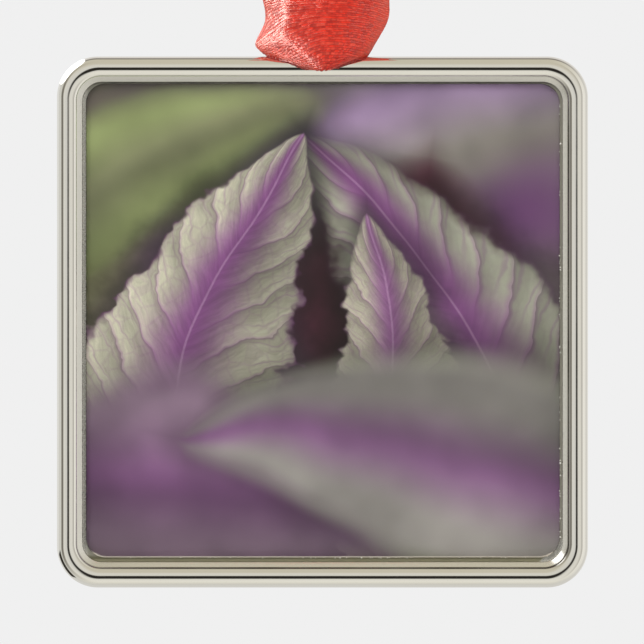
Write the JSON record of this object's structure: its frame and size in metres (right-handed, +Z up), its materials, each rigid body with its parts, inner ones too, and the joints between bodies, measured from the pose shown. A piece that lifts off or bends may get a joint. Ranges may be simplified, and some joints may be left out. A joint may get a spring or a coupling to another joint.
{
  "type": "square metal photo ornament",
  "caption": "Square silver-coloured metal hanging ornament: a beaded frame round a printed panel under a clear cover, on a knotted red ribbon loop.",
  "frame": {"origin": "top of the ribbon's loop, just under its knot, where a hook or a twig carries the ornament", "axes": "+Z up along the ribbon; the printed side faces -Y and the flat back faces +Y; +X runs along the top rim, to the right as seen from the printed side"},
  "size_m": [0.07, 0.015, 0.1814],
  "materials": {
    "plated_metal": "bright polished plating, slightly warm",
    "printed_sheet": "satin colour print",
    "clear_cover": "clear glossy resin",
    "ribbon": "fine woven, sheer, with a sheen"
  },
  "bodies": {
    "root": {"frame": "plated_metal", "printed_panel": "printed_sheet", "clear_cover": "clear_cover", "ribbon": "ribbon"}
  },
  "joints": []
}
